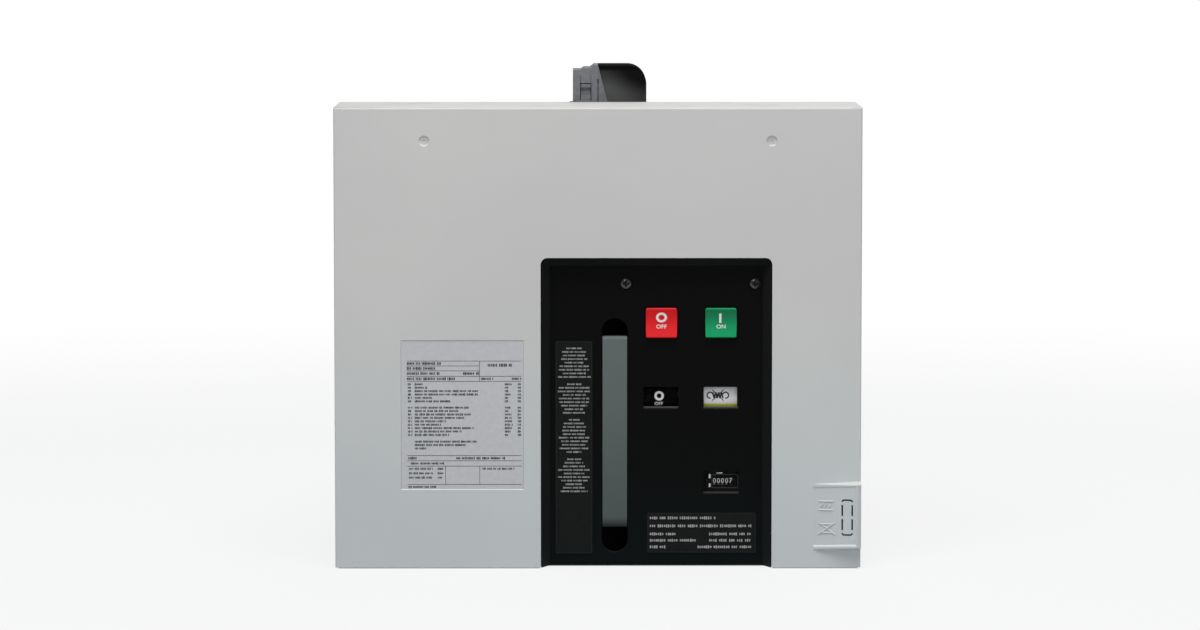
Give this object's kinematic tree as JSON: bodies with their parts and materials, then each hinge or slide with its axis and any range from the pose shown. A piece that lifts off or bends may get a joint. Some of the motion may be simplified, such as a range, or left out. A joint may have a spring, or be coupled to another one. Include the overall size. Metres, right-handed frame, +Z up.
{
  "type": "indoor vacuum circuit breaker",
  "caption": "Indoor vacuum circuit breaker: sheet-metal drive housing with a recessed control panel and charging lever, and cast-resin poles with terminals behind it.",
  "frame": {"origin": "middle of the housing's base, on the floor", "axes": "+X to the right of the front, the front faces -Y, +Z up"},
  "size_m": [0.45, 0.4333, 0.4267],
  "materials": {
    "cover_paint": "satin light grey powder coat",
    "housing_steel": "zinc-plated sheet",
    "foot_steel": "zinc-plated sheet",
    "mechanism_steel": "satin",
    "panel_plastic": "fine moulded texture",
    "screw_black": "blackened",
    "screw_painted": "painted with the cover",
    "red_plastic": "gloss",
    "green_plastic": "gloss",
    "lever_plastic": "satin moulding",
    "shaft_steel": "ground",
    "flag_black": "satin",
    "flag_white": "satin",
    "window_clear": "clear acrylic",
    "counter_black": "satin",
    "label_grey": "printed satin foil",
    "label_dark": "satin foil",
    "pole_resin": "cast resin",
    "terminal_metal": "silver-plated, satin",
    "brass": "satin",
    "plug_grey": "satin moulding",
    "plug_black": "satin moulding"
  },
  "bodies": {
    "breaker": {"front_cover": "cover_paint", "corner_boss": "cover_paint", "housing_left_side": "housing_steel", "housing_right_side": "housing_steel", "housing_top": "housing_steel", "base_plate": "housing_steel", "rear_plate": "housing_steel", "left_foot": "foot_steel", "right_foot": "foot_steel", "mechanism_plate": "mechanism_steel", "mechanism_block": "mechanism_steel", "control_panel": "panel_plastic", "panel_screws": "screw_black", "cover_screws": "screw_painted", "lever_shaft": "shaft_steel", "lever_bracket": "mechanism_steel", "indicator_shaft": "shaft_steel", "indicator_bracket": "mechanism_steel", "position_window": "window_clear", "spring_window": "window_clear", "counter_body": "counter_black", "counter_wheels": "flag_black", "counter_shaft": "shaft_steel", "counter_window": "window_clear", "rating_plate": "label_grey", "tall_label": "label_dark", "service_label": "label_dark", "pole_left": "pole_resin", "pole_centre": "pole_resin", "pole_right": "pole_resin", "upper_terminals": "terminal_metal", "lower_terminals": "terminal_metal", "earth_terminal": "brass", "plug_socket": "plug_grey", "plug_block": "plug_grey", "plug_hood": "plug_black", "plug_latch": "plug_grey"},
    "open_button": {"open_button": "red_plastic"},
    "close_button": {"close_button": "green_plastic"},
    "lever": {"charging_lever": "lever_plastic"},
    "position_drum": {"position_indicator": "flag_black"},
    "spring_drum": {"spring_indicator": "flag_white"},
    "units_wheel": {"counter_units_wheel": "flag_black"}
  },
  "joints": [
    {"name": "open_press", "type": "slide", "parent": "breaker", "child": "open_button", "axis": [0, 1, 0], "range_m": [0, 0.006], "stiffness_N_per_m": 400, "springref_m": -0.01},
    {"name": "close_press", "type": "slide", "parent": "breaker", "child": "close_button", "axis": [0, 1, 0], "range_m": [0, 0.006], "stiffness_N_per_m": 400, "springref_m": -0.01},
    {"name": "lever_swing", "type": "hinge", "parent": "breaker", "child": "lever", "pos_m": [0.0145, -0.064, 0.052], "axis": [1, 0, 0], "range_deg": [0, 85]},
    {"name": "position_turn", "type": "hinge", "parent": "breaker", "child": "position_drum", "pos_m": [0.0543, -0.06, 0.1465], "axis": [1, 0, 0], "range_deg": [0, 50]},
    {"name": "spring_turn", "type": "hinge", "parent": "breaker", "child": "spring_drum", "pos_m": [0.1059, -0.06, 0.1465], "axis": [1, 0, 0], "range_deg": [0, 50]},
    {"name": "units_turn", "type": "hinge", "parent": "breaker", "child": "units_wheel", "pos_m": [0.11315, -0.072, 0.0735], "axis": [1, 0, 0], "continuous": true}
  ]
}
